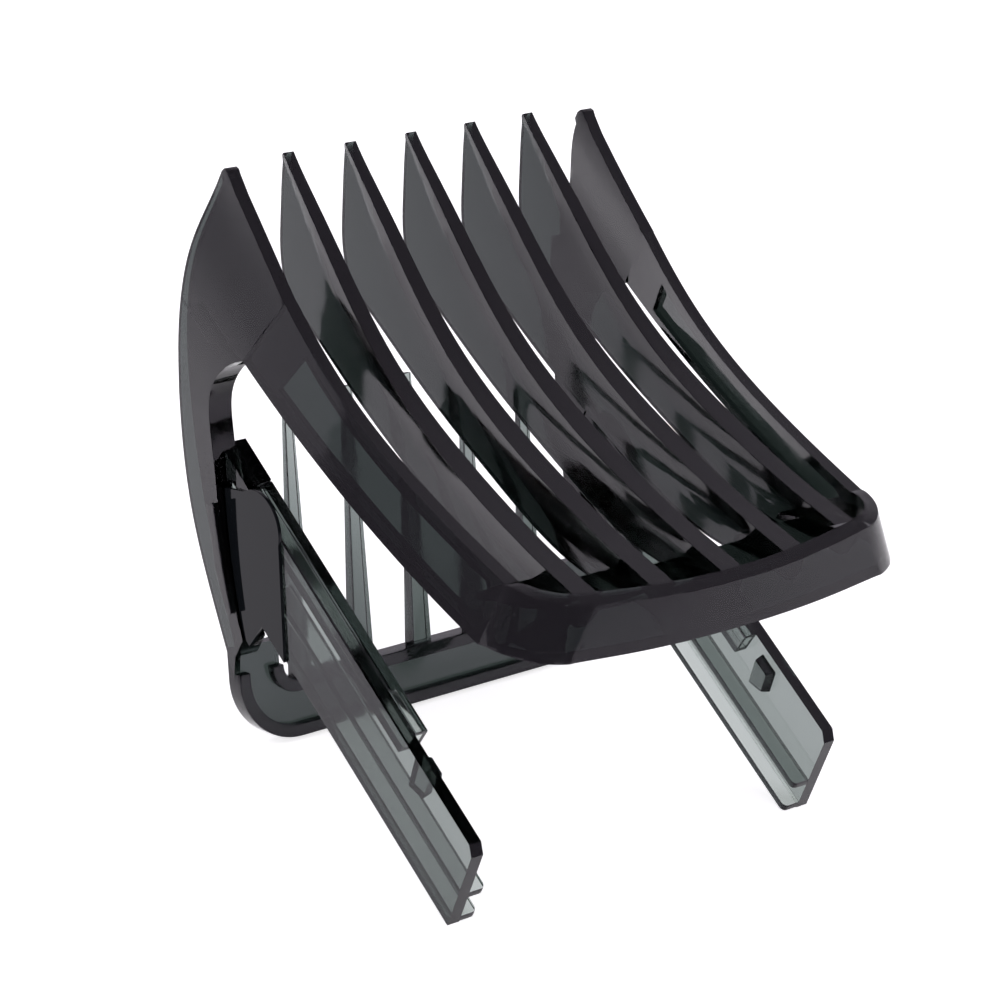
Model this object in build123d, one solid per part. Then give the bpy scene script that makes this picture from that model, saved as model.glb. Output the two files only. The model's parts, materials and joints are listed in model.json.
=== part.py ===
from build123d import *
import os
from math import asin, atan2, cos, degrees, radians, sin, sqrt

# Adjustable hair-clipper guard comb, one moulding in smoky clear plastic.
# Modelling frame: X across the comb, Y along the rails towards the tooth tips, Z towards the skin.
# Y = 0, Z = 0 is the top corner of each rail's free end. The finished comb is then tilted into the
# way it stands on a table: on its two rail ends and on the bottom edge of the rear frame.

os.makedirs("parts", exist_ok=True)

# ---------------------------------------------------------------- driving dimensions (mm)
tooth_pitch = 8.3          # tooth to tooth, at the tips
tooth_splay = 0.6          # degrees of fan per tooth, about the tip
tooth_count = 5            # inner blades, between the two outer fangs
tooth_tip_y = 73.8         # tips of the inner blades, from the rail ends
fang_tip_y = 72.9          # tips of the outer fangs
tip_width = 1.5            # blade width at the tip
blade_width = 2.7          # blade width at the skin edge, over the front half
blade_root_width = 1.1     # blade width along its inner edge
blade_head = 3.4           # how deep the wide head reaches before the thin web
skin_low_z = 21.1          # lowest point of the concave skin edge
skin_low_y = 44.5
under_low_z = 13.6         # underside of the blades and arches at the window's rear end
under_rise = 7.6           # how far that underside climbs towards the front bar

top_inset = 1.2            # skirt top edge at the front corners, inside the rails' outer faces
hem_overhang = 1.3         # skirt bottom edge at the front corners, outside them
top_spread = 0.026         # extra half width per mm towards the tips
hem_spread = 0.013
skirt_wall = 1.6           # wall of the skirt: arches and front bar
window_depth = 0.7         # thinned window inside each arch
window_low_gap = 1.1       # from the arch's underside up to the window
window_high_gap = 1.7      # from the skin edge down to the window
window_front_y = 17.0
window_rear_y = 51.0
window_round = 1.6         # how far the window's rounded front end bulges
bar_top_z = 28.6           # front bar, top edge
bar_hem_z = 24.3           # front bar, bottom edge
bar_top_y = 7.0            # front bar, outer face at the middle, top edge
bar_hem_y = 4.0            # the same, bottom edge
bar_overlap = 0.45         # the blades' ends run over the bar's top edge this thick
corner_top_r = 6.0
corner_hem_r = 7.0
bow_top_r = 100.0          # the front bar is gently bowed in plan
bow_hem_r = 180.0

rail_half_width = 25.8     # outer face of each rail
rail_web = 1.53            # rail web thickness
rail_height = 10.7
rail_cut = 2.3             # how far the slanted end runs out below the top corner
rail_corner = 0.9          # small chamfer on the top corner
flange_reach = 2.25        # both flanges, inwards from the web
flange_thick = 0.85
slot_gap = 2.6             # clear height between the two flanges
strip_reach = 1.7          # upper strip, inwards from the web
strip_height = 3.1
strip_stand = 0.2          # it stands this much above the web's top edge
strip_end_y = 14.8
strip_root_y = 55.6
lug_stand = 1.3            # detent lug, proud of the web's inner face
rail_root_y = 49.6
boss_stand = 0.4           # boss over the rail's root, proud of the web's outer face
root_gap = 0.15            # parting gap at the rail root, where the arm flexes

leg_core = 3.0             # leg thickness across X
lip_thick = 0.7            # thin rear lip of fang and leg

rib_length = 32.1
rib_base_width = 2.6
rib_tip_width = 1.0
rib_base_depth = 1.9
rib_tip_depth = 0.8
frame_overhang = 0.2       # rear frame, outside the rails' outer faces
frame_band = 6.8           # height of the rear frame's cross bar
frame_arm = 6.0            # width of its two upright arms
frame_plate = 1.3
border_width = 1.5         # raised borders along the frame's inner and outer edges
border_height = 1.0
frame_outer_r = 8.0
frame_inner_r = 2.0
frame_y = 36.8             # middle of the cross bar's upper edge
frame_z = -21.5
frame_slope = 49.2         # degrees, slope of the rear frame and its ribs

ramp_thick = 1.1           # webs between the blades, behind the front bar
ramp_run = 6.7
ramp_drop = 5.6

top_half_width = rail_half_width - top_inset
hem_half_width = rail_half_width + hem_overhang
frame_half_width = rail_half_width + frame_overhang
side_in = rail_half_width - 6
side_out = rail_half_width + 5


# ---------------------------------------------------------------- curves
def skin_z(y):
    """Height of the concave skin edge at a place along the comb."""
    d = y - skin_low_y
    if d > 0:
        return skin_low_z + 3.0 * (sqrt(1 + (d / 12.0) ** 2) - 1)
    return skin_low_z + 6.6 * (sqrt(1 + (d / 20.0) ** 2) - 1)


def under_z(y):
    """Height of the underside of the blades and of the arches."""
    return under_low_z + under_rise * ((60.0 - y) / 50.0) ** 2


def plan_point(half, radius, bow, front, angle):
    """Point of the skirt's plan outline whose outward normal is at this angle from +X."""
    centre_y = front + bow - sqrt((bow - radius) ** 2 - (half - radius) ** 2)
    turn = 90 - degrees(asin((half - radius) / (bow - radius)))
    a = radians(angle)
    if angle <= turn:
        return half - radius + radius * cos(a), centre_y - radius * sin(a)
    return bow * cos(a), front + bow - bow * sin(a)


def quad(p_top, p_hem, normal, wall):
    """Skirt section: outer top, outer hem, and the same two moved in by the wall."""
    nx, ny = normal
    pts = [p_top, p_hem]
    pts += [(p[0] - wall * nx, p[1] - wall * ny, p[2]) for p in (p_hem, p_top)]
    return make_face(Polyline(*pts, close=True))


def blend(a, b, t):
    """Value part of the way from a to b, as t goes from 0 to 1."""
    return a + (b - a) * t


arch_end_y = 56.5          # where the arches meet the fangs
top_corner_y = plan_point(top_half_width, corner_top_r, bow_top_r, bar_top_y, 0)[1]
hem_corner_y = plan_point(hem_half_width, corner_hem_r, bow_hem_r, bar_hem_y, 0)[1]


def corner_section(angle):
    """Skirt section at the front corner and along the front bar."""
    tx, ty = plan_point(top_half_width, corner_top_r, bow_top_r, bar_top_y, angle)
    hx, hy = plan_point(hem_half_width, corner_hem_r, bow_hem_r, bar_hem_y, angle)
    t = sin(radians(min(90, angle))) ** 0.8
    top = blend(skin_z(top_corner_y), bar_top_z, t)
    hem = blend(under_z(hem_corner_y), bar_hem_z, t)
    a = radians(angle)
    return (tx, ty, top), (hx, hy, hem), (cos(a), -sin(a))


def arch_section(s):
    """Skirt section along the side; s runs from 0 at the front corner to 1 at the fang."""
    ty = blend(top_corner_y, arch_end_y, s)
    hy = blend(hem_corner_y, arch_end_y, s)
    tx = top_half_width + top_spread * (ty - top_corner_y)
    hx = hem_half_width + hem_spread * (hy - hem_corner_y)
    return (tx, ty, skin_z(ty)), (hx, hy, under_z(hy)), (1, 0)


def side_prism(outline, x0, x1):
    """Prism between two X values, from a closed outline drawn in the side plane as (y, z)."""
    return extrude(Plane.YZ.offset(x0) * make_face(outline), x1 - x0)


def side_box(y0, y1, z0, z1, x0, x1):
    """Box between these places."""
    return Pos((x0 + x1) / 2, (y0 + y1) / 2, (z0 + z1) / 2) * Box(x1 - x0, y1 - y0, z1 - z0)


def biggest(shape):
    """The largest solid of a cut, without any offcut."""
    return sorted(shape.solids(), key=lambda one: one.volume)[-1]


one_side = {}
centre = {}

# ---------------------------------------------------------------- front bar and side arches
arch = loft([quad(*arch_section(i / 6), skirt_wall) for i in range(7)])


def inner_section(s, depth):
    """Section of the layer that lies inside the arch's wall, from this depth short of its inner face."""
    top, hem, normal = arch_section(s)
    step = skirt_wall - depth
    return quad((top[0] - step, top[1], top[2]), (hem[0] - step, hem[1], hem[2]), normal, 2.0)


# shallow window, thinned from inside, along the arch
window_steps = [blend(window_front_y, window_rear_y, i / 4) for i in range(5)]
window_low = [(y, under_z(y) + window_low_gap) for y in window_steps]
window_high = [(y, skin_z(y) - window_high_gap) for y in reversed(window_steps)]
front_end = (window_front_y - window_round, (window_low[0][1] + window_high[-1][1]) / 2)
window_outline = Spline(*window_low) + Line(window_low[-1], window_high[0])
window_outline += Spline(*window_high) + ThreePointArc(window_high[-1], front_end, window_low[0])
window_layer = loft([inner_section(i / 6, window_depth) for i in range(7)])
arch = biggest(arch - (window_layer & side_prism(window_outline, side_in, side_out)))
one_side["side_arch"] = arch


def bar_section(angle):
    """Section at any angle right round the front, from the right side (0) to the left (180)."""
    top, hem, normal = corner_section(min(angle, 180 - angle))
    side = 1 if angle <= 90 else -1
    flip = [(side * p[0], p[1], p[2]) for p in (top, hem)]
    return quad(flip[0], flip[1], (side * normal[0], normal[1]), skirt_wall)


bar_steps = [0, 15, 30, 45, 60, 72, 80, 86, 90]
bar_steps += [180 - a for a in reversed(bar_steps[:-1])]
front_bar = loft([bar_section(a) for a in bar_steps])
centre["front_bar"] = front_bar

# ---------------------------------------------------------------- side profile of fang and leg
rear_edge = [(fang_tip_y, 24.4), (70.9, 16.0), (62.4, -0.3)]
rear_edge += [(54.2, -9.8), (45.5, -16.0), (38.2, -20.4)]
lip_edge = [(72.4, 24.0), (69.9, 15.0), (60.9, 1.0), (52.4, -7.8), (44.6, -14.2), (39.4, -18.0)]
window_edge = [(arch_end_y, 13.4), (58.7, 9.0), (58.5, 5.0), (56.0, 1.4)]
window_edge += [(52.6, -2.6), (46.6, -9.0), (39.4, -14.8)]
fang_tip = [(69.5, skin_z(69.5)), (71.7, 25.75), (72.3, 26.05), (72.8, 25.9)]
fang_tip += [(fang_tip_y + 0.1, 25.3), (fang_tip_y, 24.4)]
side_skin = [(y, skin_z(y)) for y in (arch_end_y, 60.5, 65.0, 69.5)]

core_outline = Spline(*side_skin) + Polyline(*fang_tip, lip_edge[0]) + Spline(*lip_edge)
core_outline += Line(lip_edge[-1], window_edge[-1])
core_outline += Spline(*window_edge) + Line(window_edge[0], side_skin[0])
lip_outline = Spline(*rear_edge) + Line(rear_edge[0], lip_edge[0])
lip_outline += Spline(*lip_edge) + Line(lip_edge[-1], rear_edge[-1])

# outer face of fang and leg, seen along the comb: (distance outside the rail, z)
outer_bulge = [(-0.05, 28.0), (-0.08, 22.4), (1.2, 17.0), (1.8, 11.0)]
outer_bulge += [(1.5, 0.0), (0.9, -10.0), (0.2, -22.0)]
outer_face = [(rail_half_width + bulge, z) for bulge, z in outer_bulge]


def shell(thickness):
    """Slab under the outer face, this thick across X, running the whole length of the comb."""
    inner = [(x - thickness, z) for x, z in outer_face]
    outline = Spline(*outer_face) + Line(outer_face[0], inner[0])
    outline += Spline(*inner) + Line(outer_face[-1], inner[-1])
    return extrude(Plane.XZ.offset(-90) * make_face(outline), 90)


core = side_prism(core_outline, side_in, side_out)
split_z = 10.2
above = side_box(50, 80, split_z, 40, side_in, side_out)
below = side_box(20, 80, -40, split_z, side_in, side_out)
lip = biggest(side_prism(lip_outline, side_in, side_out) & shell(lip_thick))
fang = biggest((core & shell(skirt_wall) & above) + (lip & above))
leg = biggest((core & shell(leg_core) & below) + (lip & below))
one_side["fang"] = fang
one_side["leg"] = leg

pad_points = [(50.6, -3.4), (52.0, -5.6), (47.0, -11.0), (42.6, -13.9), (41.6, -12.4), (46.0, -8.2)]
pad_outline = Polyline(*pad_points, close=True)
pad = side_prism(pad_outline, side_in, side_out) & core & shell(2.0).moved(Location((0.7, 0, 0)))
one_side["leg_pad"] = biggest(pad - leg)

# ---------------------------------------------------------------- rear frame and its ribs
lean = radians(frame_slope)
rear = Plane(origin=(0, frame_y, frame_z), x_dir=(1, 0, 0), z_dir=(0, -sin(lean), cos(lean)))
arm_top = 5.0
outer = Rectangle(2 * frame_half_width, frame_band + arm_top, align=(Align.CENTER, Align.MIN))
outer = Pos(0, -frame_band) * outer
outer = fillet(outer.vertices().group_by(Axis.Y)[0], frame_outer_r)
inner = Rectangle(2 * (frame_half_width - frame_arm), 20, align=(Align.CENTER, Align.MIN))
inner = fillet(inner.vertices().group_by(Axis.Y)[0], frame_inner_r)
plate_front = -0.3
u_plate = extrude(rear * Pos(0, 0, plate_front) * (outer - inner), -frame_plate)
both_legs = [leg, mirror(leg, about=Plane.YZ)]
centre["rear_frame"] = biggest(u_plate - both_legs)

border_stop = Pos(0, 2.2) * Rectangle(80, 60, align=(Align.CENTER, Align.MIN))
rim_band = offset(inner, border_width) - inner - border_stop
hem_band = outer - offset(outer, -border_width) - border_stop
for name, band in (("rear_rim", rim_band), ("rear_hem", hem_band)):
    border = extrude(rear * Pos(0, 0, plate_front) * band, border_height)
    centre[name] = biggest(border - both_legs)

rib_names = ["l2", "l1", "c", "r1", "r2"]
for k, name in zip(range(-2, 3), rib_names):
    foot = Pos(0, 0, -rib_base_depth / 2) * Rot(X=-90) * Rectangle(rib_base_width, rib_base_depth)
    tip = Pos(0, rib_length, -rib_tip_depth / 2) * Rot(X=-90) * Rectangle(rib_tip_width, rib_tip_depth)
    centre["rib_" + name] = rear * Pos(k * tooth_pitch, 0, 0) * loft([foot, tip])

# ---------------------------------------------------------------- inner blades
tip_profile = [(tooth_tip_y, 25.4), (72.4, 22.9), (70.5, 19.9), (67.4, 15.6), (63.0, 12.9), (58.0, 13.0)]


def blade_at(y):
    """Cross section of a blade at a place along it: wide at the skin edge, then a thin web."""
    front = min(1.0, max(0.0, (tooth_tip_y - y) / 42.0))
    top = blend(tip_width, blade_width, front ** 1.2)
    low = blend(0.8, blade_root_width, front)
    z_top = skin_z(y) + bar_overlap * max(0.0, (22 - y) / 15)
    z_low = under_z(y) - (0.9 if y > 56 else 0)
    z_low = max(z_low, bar_hem_z + 0.3 - 0.51 * (y - 8))
    head = min(blade_head * (0.3 + 0.7 * min(1.0, 2 * front)), 0.6 * (z_top - z_low))
    neck = low / 2 + 0.05
    half = [(top / 2, z_top), (neck, z_top - head), (low / 2, z_low)]
    pts = half + [(-x, z) for x, z in reversed(half)]
    return make_face(Polyline(*[(x, y, z) for x, z in pts], close=True))


blade = loft([blade_at(y) for y in (6.5, 14, 22, 32, 44.5, 55, 66, 75)])
cut_line = Spline(*tip_profile)
tip_round = [(tooth_tip_y - 0.7, 40), (tooth_tip_y - 0.7, 26.2), (tooth_tip_y - 0.2, 25.95)]
cut_line += Polyline(tip_profile[-1], (58.0, 0), (90, 0), (90, 40), *tip_round, tip_profile[0])
blade = blade - extrude(Plane.YZ.offset(-5) * make_face(cut_line), 10)


def bar_front_y(x):
    """Outer face of the front bar's top edge at this distance from the middle."""
    x = abs(x)
    if x <= top_half_width - corner_top_r - 1:
        return bar_top_y + bow_top_r - sqrt(bow_top_r ** 2 - x ** 2)
    return top_corner_y - sqrt(corner_top_r ** 2 - (x - top_half_width + corner_top_r) ** 2)


fan = 1 + (tooth_tip_y - 10) * radians(tooth_splay) / tooth_pitch
blades = []
for k, name in zip(range(-2, 3), rib_names):
    spot = Pos(k * tooth_pitch, tooth_tip_y, 0) * Rot(Z=k * tooth_splay) * Pos(0, -tooth_tip_y, 0)
    x_end = k * tooth_pitch * fan
    ahead = side_box(0, bar_front_y(x_end) + 0.1, 10, 40, x_end - 4, x_end + 4)
    one = biggest(spot * blade - front_bar - ahead)
    blades.append(one)
    centre["blade_" + name] = one

# ---------------------------------------------------------------- sloping webs behind the front bar
gap_middles = [(k + 0.5) * tooth_pitch * fan for k in range(-2, 2)]
corner_gap = (2 * tooth_pitch * fan + top_half_width - skirt_wall) / 2
ramps = []
for x in [-corner_gap] + gap_middles + [corner_gap]:
    y0 = bar_front_y(x) + 0.8
    z0 = bar_top_z - 0.15
    y1, z1 = y0 + ramp_run, z0 - ramp_drop
    outline = Polyline((y0, z0), (y1, z1), (y1, z1 - ramp_thick), (y0, z0 - ramp_thick), close=True)
    ramp = side_prism(outline, x - 4.6, x + 4.6)
    for piece in blades + [front_bar, arch, mirror(arch, about=Plane.YZ)]:
        ramp = ramp - piece
    near = sorted(ramp.solids(), key=lambda one: abs(one.center().X - x))
    ramps.append(near[0])
centre["pocket_webs"] = Compound(ramps)

# ---------------------------------------------------------------- rails
web_in = rail_half_width - rail_web
leg_clear = Pos(0, -root_gap / cos(radians(45)), 0) * core
end_slope = rail_cut / rail_height
web_outline = Polyline(
    (rail_corner, 0), (-rail_corner * end_slope, -rail_corner), (-rail_cut, -rail_height),
    (52, -rail_height), (58, 0), close=True,
)
rail_piece = {}
rail_piece["rail_web"] = biggest(side_prism(web_outline, web_in, rail_half_width) - leg_clear)

low_top = -rail_height + flange_thick
mid_low = low_top + slot_gap
flange_end_y = 40.0
flange_x = web_in - flange_reach


def flange(z_low):
    """Flange along the inner face of the rail, cut off at the slant of the rail's end."""
    z_top = z_low + flange_thick
    cut_end = [(end_slope * z_low, z_low), (end_slope * z_top, z_top)]
    outline = Polyline(*cut_end, (flange_end_y, z_top), (flange_end_y, z_low), close=True)
    bar = side_prism(outline, flange_x, web_in)
    corner = bar.edges().filter_by(Axis.Z, tolerance=15).sort_by(Axis.X)[:2].sort_by(Axis.Y)[0]
    return fillet(corner, 0.7)


rail_piece["rail_mid_flange"] = flange(mid_low)
rail_piece["rail_low_flange"] = flange(-rail_height)

strip_x = web_in - strip_reach
strip_z = strip_stand - strip_height
strip = side_box(strip_end_y, rail_root_y - root_gap, strip_z, strip_stand, strip_x, web_in)
end_pocket = [strip_end_y - 1, strip_end_y + 6, strip_z + 0.7, strip_stand - 0.6]
end_pocket += [strip_x + 0.45, web_in - 0.4]
rail_piece["rail_strip"] = strip - side_box(*end_pocket)
web_space = side_prism(web_outline, web_in - root_gap, rail_half_width + 1) - core
root = side_box(rail_root_y, strip_root_y, strip_z, strip_stand, strip_x, web_in + 0.5)
one_side["strip_root"] = biggest(root - leg - web_space)

lug_outline = Polyline((12.7, -0.9), (9.9, -0.9), (9.1, -3.6), (11.6, -4.5), close=True)
web_inside = Plane(origin=(web_in, 0, 0), x_dir=(0, 1, 0), z_dir=(-1, 0, 0))
lug_face = web_inside * Rot(X=180) * make_face(lug_outline)
rail_piece["rail_lug"] = extrude(lug_face, lug_stand, dir=(-1, 0, 0), taper=10)

boss_outline = ThreePointArc((41.4, -0.4), (45.2, 2.2), (49.4, -0.6))
boss_low = [(44.0, -14.4), (38.4, -14.6), (38.2, -rail_height), (33.1, -rail_height)]
boss_outline += Polyline((49.4, -0.6), (52.0, -3.0), *boss_low, (41.4, -0.4))
boss = side_prism(boss_outline, rail_half_width, rail_half_width + boss_stand)
rail_piece["root_boss"] = biggest(boss - leg_clear)

# ---------------------------------------------------------------- the way it stands, and export
plate_back = frame_plate - plate_front
foot_y = frame_y - frame_band * cos(lean) + plate_back * sin(lean)
foot_z = frame_z - frame_band * sin(lean) - plate_back * cos(lean)
rest_tilt = degrees(atan2(-rail_height - foot_z, foot_y + rail_cut))

pieces = dict(centre)
for group in (one_side, rail_piece):
    for name, solid in group.items():
        pieces[name + "_l"] = mirror(solid, about=Plane.YZ)
        pieces[name + "_r"] = solid
tilted = {name: Rot(X=rest_tilt) * solid for name, solid in pieces.items()}
box = Compound(list(tilted.values())).bounding_box(optimal=True)
stand = Pos(0, -(box.min.Y + box.max.Y) / 2, -box.min.Z)
for name, solid in tilted.items():
    export_step(stand * solid, "parts/" + name + ".step")
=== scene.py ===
import json
from math import radians

import bmesh
import bpy
from bpy.props import FloatProperty, FloatVectorProperty, IntProperty, PointerProperty
from bpy.types import Operator, Panel, PropertyGroup
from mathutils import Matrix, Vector
from mathutils.bvhtree import BVHTree

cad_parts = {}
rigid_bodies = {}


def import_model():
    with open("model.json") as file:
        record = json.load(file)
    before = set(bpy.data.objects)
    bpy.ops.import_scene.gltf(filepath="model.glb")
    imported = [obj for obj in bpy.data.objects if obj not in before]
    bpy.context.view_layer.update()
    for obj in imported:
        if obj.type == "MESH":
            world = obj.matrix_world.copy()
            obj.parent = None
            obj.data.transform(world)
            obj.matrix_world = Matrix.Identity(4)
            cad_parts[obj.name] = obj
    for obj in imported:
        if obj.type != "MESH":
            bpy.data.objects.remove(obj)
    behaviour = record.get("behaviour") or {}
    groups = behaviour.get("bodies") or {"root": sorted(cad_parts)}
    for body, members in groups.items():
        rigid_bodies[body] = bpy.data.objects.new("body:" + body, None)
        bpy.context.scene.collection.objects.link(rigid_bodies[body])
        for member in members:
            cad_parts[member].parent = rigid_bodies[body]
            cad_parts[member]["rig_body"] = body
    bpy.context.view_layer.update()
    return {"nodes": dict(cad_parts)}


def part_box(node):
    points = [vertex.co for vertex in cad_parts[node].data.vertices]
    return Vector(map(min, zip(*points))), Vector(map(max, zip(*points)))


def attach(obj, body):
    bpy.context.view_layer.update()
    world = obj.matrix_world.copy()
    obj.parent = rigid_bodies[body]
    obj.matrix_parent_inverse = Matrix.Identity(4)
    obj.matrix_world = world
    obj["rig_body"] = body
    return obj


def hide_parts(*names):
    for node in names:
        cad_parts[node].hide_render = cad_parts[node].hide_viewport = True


bl_info = {
    "name": "Clipper guard comb",
    "version": (1, 0, 0),
    "blender": (4, 5, 0),
    "location": "3D view > Sidebar > Guard comb",
    "description": "Smoked plastic guard comb for a hair clipper, with its stage",
    "category": "Object",
}

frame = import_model()

MM = 0.001

# How two moulded regions are found to meet
NEAR_BOX = 0.1 * MM           # boxes closer than this may hold regions that meet
NEAR_EDGE = 0.06 * MM         # an edge this close to a neighbour stays sharp
NEAR_FACE = 0.02 * MM         # a face this close to a neighbour is joined to it
FACING = -0.9                 # two faces meet if the cosine between their normals is below this
CORNER_INSET = 0.1            # how far from a face's corner to its middle it is tested for a neighbour

# How a region's mesh is cleaned and rounded
WELD = 0.002 * MM             # points closer than this become one
FLAT_ANGLE = radians(0.5)     # faces that turn less than this become one
ROUND_ANGLE = radians(30)     # edges sharper than this are rounded
CREASE_ANGLE = radians(33)    # edges sharper than this are shaded as a crease


# ---------------------------------------------------------------- settings
class SmokedPlasticSettings(PropertyGroup):
    """Colour and finish of the smoked plastic"""

    absorption_colour: FloatVectorProperty(
        name="Smoke colour",
        description="Colour that a thick wall tends to",
        subtype="COLOR",
        size=3,
        min=0.0,
        max=1.0,
        default=(0.10, 0.165, 0.15),
    )
    body_tint: FloatVectorProperty(
        name="Body tint",
        description="Tint of the light that goes through the surface",
        subtype="COLOR",
        size=3,
        min=0.0,
        max=1.0,
        default=(0.93, 0.95, 0.94),
    )
    refraction: FloatProperty(
        name="Refraction",
        description="Index of refraction of the plastic",
        default=1.46,
        min=1.0,
    )
    gloss_colour: FloatVectorProperty(
        name="Gloss colour",
        description="Faint violet cast of the light that the surface throws back",
        subtype="COLOR",
        size=3,
        min=0.0,
        max=1.0,
        default=(0.66, 0.61, 0.70),
    )
    rail_density: FloatProperty(
        name="Rail smoke",
        description="How fast the rails darken with thickness, per metre",
        default=780.0,
        min=0.0,
    )
    rib_density: FloatProperty(
        name="Rib smoke",
        description="How fast the ribs of the rear guard darken with thickness, per metre",
        default=1400.0,
        min=0.0,
    )
    frame_density: FloatProperty(
        name="Rear frame smoke",
        description="How fast the rear frame darkens with thickness, per metre",
        default=2500.0,
        min=0.0,
    )
    # Painted shade: the blades get a denser smoke than the rails of the same plastic. The extra darkness
    # is partly painted shade, for the shadow under the comb that is seen through them.
    blade_density_with_shade: FloatProperty(
        name="Blade smoke",
        description="How fast the blades darken with thickness, per metre",
        default=4200.0,
        min=0.0,
    )
    # Painted shade: the skirt and sides get a denser smoke than the rails of the same plastic. The extra
    # darkness is partly painted shade, for the shadow under the comb that is seen through them.
    skirt_density_with_shade: FloatProperty(
        name="Skirt smoke",
        description="How fast the skirt and the sides darken with thickness, per metre",
        default=4500.0,
        min=0.0,
    )
    # Painted shade: the bosses' near black is partly their thick plastic and partly painted shade for the
    # shadowed rails' roots.
    boss_colour_with_shade: FloatVectorProperty(
        name="Boss colour",
        description="Near black of the thick bosses over the rails' roots",
        subtype="COLOR",
        size=3,
        min=0.0,
        max=1.0,
        default=(0.004, 0.005, 0.006),
    )
    # Painted shade: the low refraction dims the bosses' reflection so that they stay dark like the shade
    # at the rails' roots.
    boss_shade_refraction: FloatProperty(
        name="Boss refraction",
        description="Index of refraction of the bosses, low so that they stay dark",
        default=1.28,
        min=1.0,
    )
    joint_overlap: FloatProperty(
        name="Joint overlap",
        description="How far each piece runs into the one it is moulded to, so that no seam shows",
        default=0.03 * MM,
        min=0.0,
        unit="LENGTH",
        subtype="DISTANCE",
        precision=5,
    )
    roughness_low: FloatProperty(
        name="Polished roughness",
        description="Roughness of the polished patches",
        default=0.03,
        min=0.0,
        max=1.0,
        subtype="FACTOR",
    )
    roughness_high: FloatProperty(
        name="Matt roughness",
        description="Roughness of the slightly matt patches",
        default=0.12,
        min=0.0,
        max=1.0,
        subtype="FACTOR",
    )
    mark_strength: FloatProperty(
        name="Flow mark strength",
        description="How plainly the flow marks show",
        default=0.25,
        min=0.0,
        max=1.0,
        subtype="FACTOR",
    )
    mark_depth: FloatProperty(
        name="Flow mark depth",
        description="Depth of the flow marks",
        default=0.02 * MM,
        min=0.0,
        unit="LENGTH",
        subtype="DISTANCE",
        precision=5,
    )
    edge_radius: FloatProperty(
        name="Edge radius",
        description="Radius of the edges of rails, legs, ribs and rear frame",
        default=0.16 * MM,
        min=0.0,
        unit="LENGTH",
        subtype="DISTANCE",
        precision=5,
    )
    round_radius: FloatProperty(
        name="Round edge radius",
        description="Radius of the edges of blades, fangs, front bar and side arches",
        default=0.3 * MM,
        min=0.0,
        unit="LENGTH",
        subtype="DISTANCE",
        precision=5,
    )
    edge_steps: IntProperty(
        name="Edge steps",
        description="Faces across each rounded edge",
        default=2,
        min=1,
        max=6,
    )


class StageSettings(PropertyGroup):
    """Floor, light and camera"""

    floor_size: FloatProperty(
        name="Floor size",
        description="Side of the square floor",
        default=8.0,
        unit="LENGTH",
    )
    floor_colour: FloatVectorProperty(
        name="Floor colour",
        description="Pale colour of the plain floor",
        subtype="COLOR",
        size=3,
        min=0.0,
        max=1.0,
        default=(0.94, 0.94, 0.94),
    )
    floor_glow: FloatProperty(
        name="Floor glow",
        description="Light that the floor gives by itself, which softens the shadow",
        default=0.74,
        min=0.0,
    )
    sky_colour: FloatVectorProperty(
        name="Room colour",
        description="Colour of the soft light all round",
        subtype="COLOR",
        size=3,
        min=0.0,
        max=1.0,
        default=(0.56, 0.53, 0.59),
    )
    key_power: FloatProperty(
        name="Key light power",
        description="Power of the soft light above the left side",
        default=1.0,
        min=0.0,
        unit="POWER",
    )
    key_colour: FloatVectorProperty(
        name="Key light colour",
        description="Colour of the soft light above the left side",
        subtype="COLOR",
        size=3,
        min=0.0,
        max=1.0,
        default=(1.0, 0.98, 0.99),
    )
    fill_power: FloatProperty(
        name="Fill light power",
        description="Power of the soft light above the right side",
        default=0.6,
        min=0.0,
        unit="POWER",
    )
    fill_colour: FloatVectorProperty(
        name="Fill light colour",
        description="Colour of the soft light above the right side",
        subtype="COLOR",
        size=3,
        min=0.0,
        max=1.0,
        default=(0.98, 0.98, 1.0),
    )
    key_place: FloatVectorProperty(
        name="Key light place",
        description="Where the key light hangs",
        subtype="TRANSLATION",
        unit="LENGTH",
        size=3,
        default=(-0.5, -0.2, 0.7),
    )
    fill_place: FloatVectorProperty(
        name="Fill light place",
        description="Where the fill light hangs",
        subtype="TRANSLATION",
        unit="LENGTH",
        size=3,
        default=(0.6, -0.15, 0.45),
    )
    lamp_size: FloatProperty(
        name="Lamp size",
        description="Side of each square soft light",
        default=0.25,
        unit="LENGTH",
    )
    lamp_aim: FloatProperty(
        name="Lamp aim",
        description="Height on the comb that both soft lights point at",
        default=0.03,
        unit="LENGTH",
    )
    lens: FloatProperty(
        name="Lens",
        description="Focal length of the camera on a 36 mm sensor",
        default=122.27,
        min=1.0,
        unit="CAMERA",
    )
    lens_shift: FloatVectorProperty(
        name="Lens shift",
        description="How far the picture is shifted sideways and up, as a share of its width",
        size=2,
        default=(0.00495, 0.02897),
        precision=5,
    )
    camera_place: FloatVectorProperty(
        name="Camera place",
        description="Where the camera stands",
        subtype="TRANSLATION",
        unit="LENGTH",
        size=3,
        default=(-0.223709, -0.245569, 0.199749),
    )
    camera_turn: FloatVectorProperty(
        name="Camera turn",
        description="How the camera is turned",
        subtype="EULER",
        unit="ROTATION",
        size=3,
        default=(radians(62.6385), radians(-6.86537), radians(-37.97955)),
    )


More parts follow.
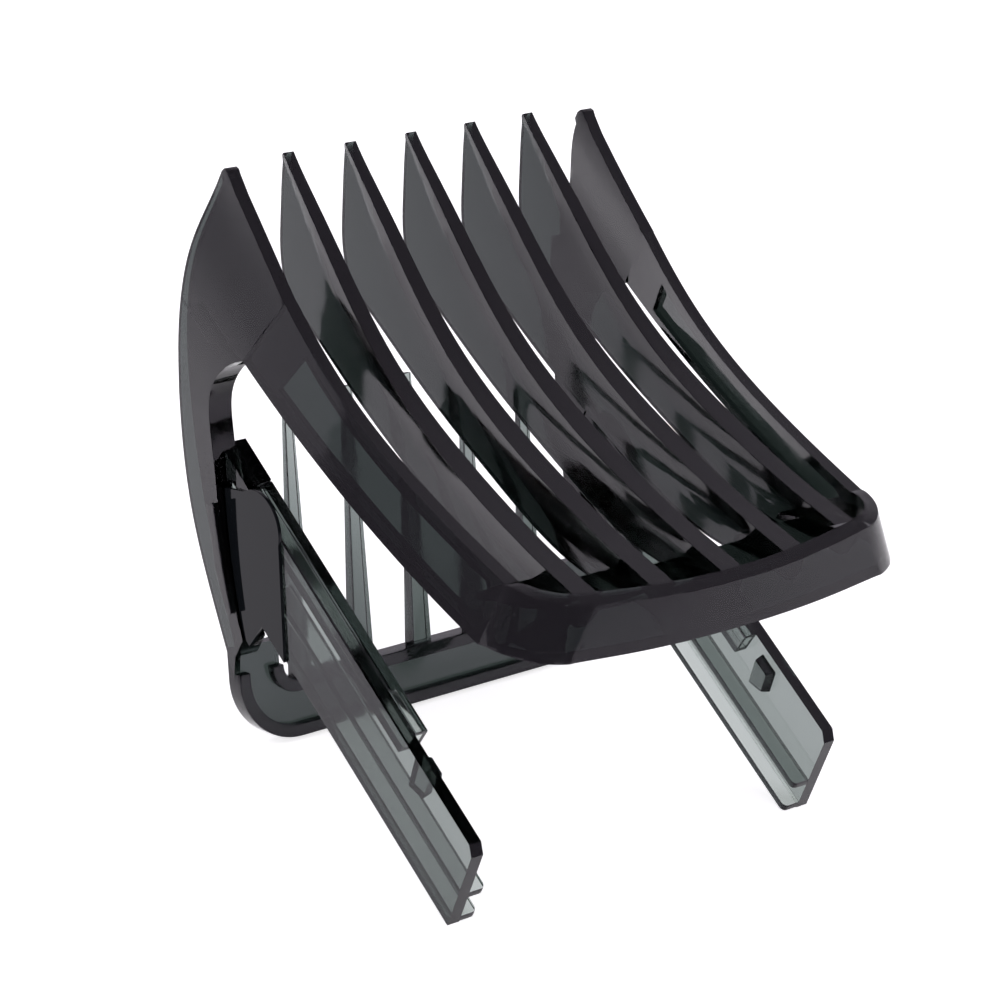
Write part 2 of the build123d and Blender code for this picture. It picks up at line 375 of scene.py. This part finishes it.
# ---------------------------------------------------------------- material
def smoked_plastic(name, density, grain, streaks, seed):
    """See-through smoked plastic with polished and slightly matt patches and faint flow marks.

    density is how fast it darkens, grain the size of the patches, streaks how far they are drawn out
    along each axis, and seed shifts the pattern."""
    plastic = bpy.context.scene.comb_plastic
    material = bpy.data.materials.new(name)
    material.use_nodes = True
    tree = material.node_tree
    nodes, links = tree.nodes, tree.links
    nodes.clear()
    out = nodes.new("ShaderNodeOutputMaterial")
    out.location = (700, 0)
    shell = nodes.new("ShaderNodeBsdfPrincipled")
    shell.location = (380, 60)
    shell.inputs["Base Color"].default_value = (*plastic.body_tint, 1.0)
    shell.inputs["Transmission Weight"].default_value = 1.0
    shell.inputs["IOR"].default_value = plastic.refraction
    shell.inputs["Specular Tint"].default_value = (*plastic.gloss_colour, 1.0)
    links.new(shell.outputs["BSDF"], out.inputs["Surface"])
    smoke = nodes.new("ShaderNodeVolumeAbsorption")
    smoke.location = (380, -420)
    smoke.inputs["Color"].default_value = (*plastic.absorption_colour, 1.0)
    smoke.inputs["Density"].default_value = density
    links.new(smoke.outputs["Volume"], out.inputs["Volume"])

    place = nodes.new("ShaderNodeTexCoord")
    place.location = (-1100, 0)
    stretch = nodes.new("ShaderNodeMapping")
    stretch.location = (-900, 0)
    stretch.inputs["Location"].default_value = (seed, seed * 0.7, -seed)
    stretch.inputs["Scale"].default_value = [1.0 / (grain * s) for s in streaks]
    links.new(place.outputs["Object"], stretch.inputs["Vector"])

    patches = nodes.new("ShaderNodeTexNoise")
    patches.location = (-680, 160)
    patches.inputs["Scale"].default_value = 1.0
    patches.inputs["Detail"].default_value = 5.0
    patches.inputs["Roughness"].default_value = 0.55
    links.new(stretch.outputs["Vector"], patches.inputs["Vector"])
    finish = nodes.new("ShaderNodeMapRange")
    finish.location = (-440, 160)
    finish.inputs["From Min"].default_value = 0.35
    finish.inputs["From Max"].default_value = 0.7
    finish.inputs["To Min"].default_value = plastic.roughness_low
    finish.inputs["To Max"].default_value = plastic.roughness_high
    links.new(patches.outputs["Fac"], finish.inputs["Value"])
    links.new(finish.outputs["Result"], shell.inputs["Roughness"])

    marks = nodes.new("ShaderNodeTexNoise")
    marks.location = (-680, -160)
    marks.inputs["Scale"].default_value = 2.0
    marks.inputs["Detail"].default_value = 1.0
    links.new(stretch.outputs["Vector"], marks.inputs["Vector"])
    bump = nodes.new("ShaderNodeBump")
    bump.location = (120, -200)
    bump.inputs["Strength"].default_value = plastic.mark_strength
    bump.inputs["Distance"].default_value = plastic.mark_depth
    links.new(marks.outputs["Fac"], bump.inputs["Height"])
    links.new(bump.outputs["Normal"], shell.inputs["Normal"])
    return material


# ---------------------------------------------------------------- moulded pieces
touch_trees = {}


def tree_of(node):
    """Search tree of a CAD node's faces, made once."""
    if node not in touch_trees:
        mesh = bmesh.new()
        mesh.from_mesh(frame["nodes"][node].data)
        touch_trees[node] = BVHTree.FromBMesh(mesh)
        mesh.free()
    return touch_trees[node]


def neighbours(node):
    """CAD nodes on the same body whose boxes come near this one's."""
    low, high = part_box(node)
    near = []
    for other, piece in frame["nodes"].items():
        if other == node or piece["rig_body"] != frame["nodes"][node]["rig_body"]:
            continue
        other_low, other_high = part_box(other)
        if all(
            other_low[axis] - NEAR_BOX <= high[axis] and other_high[axis] + NEAR_BOX >= low[axis]
            for axis in range(3)
        ):
            near.append(other)
    return near


def touches(point, others, reach=NEAR_EDGE, normal=None):
    """True where a point lies on the skin of a neighbouring node, and faces it if a normal is given."""
    for other in others:
        place, facing = tree_of(other).find_nearest(point, reach)[:2]
        if place is not None and (normal is None or normal.dot(facing) < FACING):
            return True
    return False


def sink_joints(mesh, others, depth):
    """Move the faces that lie on a neighbour a little way into it."""
    moves = {}
    for face in mesh.faces:
        middle = face.calc_center_median()
        spots = [middle] + [vert.co.lerp(middle, CORNER_INSET) for vert in face.verts]
        if any(touches(spot, others, NEAR_FACE, face.normal) for spot in spots):
            for vert in face.verts:
                moves.setdefault(vert, []).append(face.normal.copy())
    for vert, normals in moves.items():
        way = sum(normals, Vector()).normalized()
        vert.co += way * depth


def moulded(node, material, radius):
    """Moulded piece that stands for a CAD node.

    Its free edges are rounded, and where it meets a neighbour it runs a little into it."""
    plastic = bpy.context.scene.comb_plastic
    others = neighbours(node)
    mesh = bmesh.new()
    mesh.from_mesh(frame["nodes"][node].data)
    bmesh.ops.remove_doubles(mesh, verts=mesh.verts[:], dist=WELD)
    bmesh.ops.dissolve_limit(mesh, angle_limit=FLAT_ANGLE, verts=mesh.verts[:], edges=mesh.edges[:])
    free = []
    for edge in mesh.edges:
        if len(edge.link_faces) != 2 or edge.calc_face_angle(0.0) < ROUND_ANGLE:
            continue
        middle = (edge.verts[0].co + edge.verts[1].co) / 2
        if not touches(middle, others):
            free.append(edge)
    sink_joints(mesh, others, plastic.joint_overlap)
    if free and radius > 0:
        bmesh.ops.bevel(
            mesh, geom=free, offset=radius, offset_type="OFFSET", segments=plastic.edge_steps,
            profile=0.5, affect="EDGES", clamp_overlap=True, loop_slide=True,
        )
    for face in mesh.faces:
        face.smooth = True
    for edge in mesh.edges:
        edge.smooth = edge.calc_face_angle(0.0) < CREASE_ANGLE
    data = bpy.data.meshes.new(node + "_moulded")
    mesh.to_mesh(data)
    mesh.free()
    data.materials.append(material)
    piece = bpy.data.objects.new(node + "_moulded", data)
    bpy.context.scene.collection.objects.link(piece)
    weigh = piece.modifiers.new("Even shading", "WEIGHTED_NORMAL")
    weigh.keep_sharp = True
    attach(piece, frame["nodes"][node]["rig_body"])
    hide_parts(node)


def nodes_named(*starts):
    """CAD nodes whose names start with one of these words."""
    found = [n for n in sorted(frame["nodes"]) if n.startswith(starts)]
    if not found:
        raise RuntimeError("no node is named " + ", ".join(starts))
    return found


class COMB_OT_blades(Operator):
    """Make the inner blades that lift the hair"""

    bl_idname = "comb.blades"
    bl_label = "Blades"

    def execute(self, context):
        plastic = context.scene.comb_plastic
        # The blade smoke is partly painted shade, for the shadow under the comb seen through the blades.
        material = smoked_plastic(
            "smoked_blade", plastic.blade_density_with_shade, grain=3.0 * MM, streaks=(0.5, 4.0, 2.0), seed=1.0
        )
        for node in nodes_named("blade_"):
            moulded(node, material, plastic.round_radius)
        return {"FINISHED"}


class COMB_OT_skirt(Operator):
    """Make the front bar, the side arches and the small webs behind the bar"""

    bl_idname = "comb.skirt"
    bl_label = "Skirt"

    def execute(self, context):
        plastic = context.scene.comb_plastic
        material = smoked_plastic(
            "smoked_skirt", plastic.skirt_density_with_shade, grain=4.0 * MM, streaks=(2.0, 2.0, 1.0), seed=2.0
        )
        for node in nodes_named("front_bar", "side_arch_"):
            moulded(node, material, plastic.round_radius)
        moulded("pocket_webs", material, plastic.edge_radius)
        return {"FINISHED"}


class COMB_OT_sides(Operator):
    """Make the outer fangs, the legs below them and the short strips on the legs"""

    bl_idname = "comb.sides"
    bl_label = "Sides"

    def execute(self, context):
        plastic = context.scene.comb_plastic
        material = smoked_plastic(
            "smoked_side", plastic.skirt_density_with_shade, grain=3.0 * MM, streaks=(1.0, 1.0, 6.0), seed=3.0
        )
        for node in nodes_named("fang_"):
            moulded(node, material, plastic.round_radius)
        for node in nodes_named("leg_", "strip_root_"):
            moulded(node, material, plastic.edge_radius)
        return {"FINISHED"}


class COMB_OT_rear_guard(Operator):
    """Make the rear frame and the ribs that stand on it"""

    bl_idname = "comb.rear_guard"
    bl_label = "Rear guard"

    def execute(self, context):
        plastic = context.scene.comb_plastic
        guard = smoked_plastic(
            "smoked_guard", plastic.frame_density, grain=4.0 * MM, streaks=(4.0, 1.0, 1.0), seed=4.0
        )
        for node in nodes_named("rear_frame", "rear_rim", "rear_hem"):
            moulded(node, guard, plastic.edge_radius)
        rib = smoked_plastic(
            "smoked_rib", plastic.rib_density, grain=4.0 * MM, streaks=(1.0, 1.0, 4.0), seed=7.0
        )
        for node in nodes_named("rib_"):
            moulded(node, rib, plastic.edge_radius)
        return {"FINISHED"}


class COMB_OT_rails(Operator):
    """Make the two slotted slide rails with their click lugs, and the dark bosses over their roots"""

    bl_idname = "comb.rails"
    bl_label = "Rails"

    def execute(self, context):
        plastic = context.scene.comb_plastic
        rail = smoked_plastic(
            "smoked_rail", plastic.rail_density, grain=3.0 * MM, streaks=(1.0, 8.0, 4.0), seed=5.0
        )
        for node in nodes_named("rail_"):
            moulded(node, rail, plastic.edge_radius)

        # The bosses let no light through, are near black and have a low refraction that dims their
        # reflection. This is partly thick smoked plastic and partly painted shade for the shadowed rails'
        # roots.
        boss = smoked_plastic(
            "smoked_boss_with_shade", 2 * plastic.skirt_density_with_shade, grain=3.0 * MM, streaks=(1.0, 4.0, 4.0), seed=6.0
        )
        shell = boss.node_tree.nodes["Principled BSDF"]
        shell.inputs["Base Color"].default_value = (*plastic.boss_colour_with_shade, 1.0)
        shell.inputs["Transmission Weight"].default_value = 0.0
        shell.inputs["IOR"].default_value = plastic.boss_shade_refraction
        for node in nodes_named("root_boss_"):
            moulded(node, boss, plastic.edge_radius)
        return {"FINISHED"}


# ---------------------------------------------------------------- stage
def soft_box(name, place, target, size, power, colour):
    """Hang a square soft light that points at a target."""
    lamp = bpy.data.lights.new(name, "AREA")
    lamp.shape = "SQUARE"
    lamp.size = size
    lamp.energy = power
    lamp.color = colour
    light = bpy.data.objects.new(name, lamp)
    bpy.context.scene.collection.objects.link(light)
    light.location = place
    light.rotation_euler = (Vector(target) - Vector(place)).to_track_quat("-Z", "Y").to_euler()


class COMB_OT_stage(Operator):
    """Lay the pale floor, hang the soft lights and set the camera"""

    bl_idname = "comb.stage"
    bl_label = "Stage"

    def execute(self, context):
        scene = context.scene
        stage = scene.comb_stage
        low = min(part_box(node)[0].z for node in frame["nodes"])
        half = stage.floor_size / 2
        data = bpy.data.meshes.new("floor")
        corners = [(-half, -half, low), (half, -half, low), (half, half, low), (-half, half, low)]
        data.from_pydata(corners, [], [(0, 1, 2, 3)])
        paper = bpy.data.materials.new("pale_floor")
        paper.use_nodes = True
        shader = paper.node_tree.nodes["Principled BSDF"]
        shader.inputs["Base Color"].default_value = (*stage.floor_colour, 1.0)
        shader.inputs["Roughness"].default_value = 0.9
        shader.inputs["Specular IOR Level"].default_value = 0.0
        shader.inputs["Emission Color"].default_value = (1.0, 1.0, 1.0, 1.0)
        shader.inputs["Emission Strength"].default_value = stage.floor_glow
        data.materials.append(paper)
        floor = bpy.data.objects.new("floor", data)
        scene.collection.objects.link(floor)

        world = bpy.data.worlds.new("soft_room")
        world.use_nodes = True
        room = world.node_tree.nodes["Background"]
        room.inputs["Color"].default_value = (*stage.sky_colour, 1.0)
        room.inputs["Strength"].default_value = 1.0
        scene.world = world

        aim = (0.0, 0.0, stage.lamp_aim)
        soft_box("key_light", stage.key_place, aim, stage.lamp_size, stage.key_power, stage.key_colour)
        soft_box("fill_light", stage.fill_place, aim, stage.lamp_size, stage.fill_power, stage.fill_colour)

        lens = bpy.data.cameras.new("camera")
        lens.sensor_width = 36.0
        lens.lens = stage.lens
        lens.shift_x, lens.shift_y = stage.lens_shift
        lens.clip_start = 0.01
        lens.clip_end = 50.0
        camera = bpy.data.objects.new("camera", lens)
        camera.location = stage.camera_place
        camera.rotation_euler = stage.camera_turn
        scene.collection.objects.link(camera)
        scene.camera = camera
        scene.view_settings.view_transform = "Standard"
        return {"FINISHED"}


class COMB_PT_panel(Panel):
    """Lists the settings, the comb's pieces and the stage"""

    bl_idname = "COMB_PT_panel"
    bl_label = "Guard comb"
    bl_space_type = "VIEW_3D"
    bl_region_type = "UI"
    bl_category = "Guard comb"

    def draw(self, context):
        layout = self.layout
        for settings in (context.scene.comb_plastic, context.scene.comb_stage):
            for name in settings.__annotations__:
                layout.prop(settings, name)
        for maker in makers:
            layout.operator(maker.bl_idname)


makers = (COMB_OT_stage, COMB_OT_blades, COMB_OT_skirt, COMB_OT_sides, COMB_OT_rear_guard, COMB_OT_rails)
classes = (SmokedPlasticSettings, StageSettings, *makers, COMB_PT_panel)


def register():
    for cls in classes:
        bpy.utils.register_class(cls)
    bpy.types.Scene.comb_plastic = PointerProperty(type=SmokedPlasticSettings)
    bpy.types.Scene.comb_stage = PointerProperty(type=StageSettings)


def unregister():
    del bpy.types.Scene.comb_stage
    del bpy.types.Scene.comb_plastic
    for cls in reversed(classes):
        bpy.utils.unregister_class(cls)


def main():
    register()
    bpy.ops.comb.stage()
    bpy.ops.comb.blades()
    bpy.ops.comb.skirt()
    bpy.ops.comb.sides()
    bpy.ops.comb.rear_guard()
    bpy.ops.comb.rails()


if __name__ == "__main__":
    main()
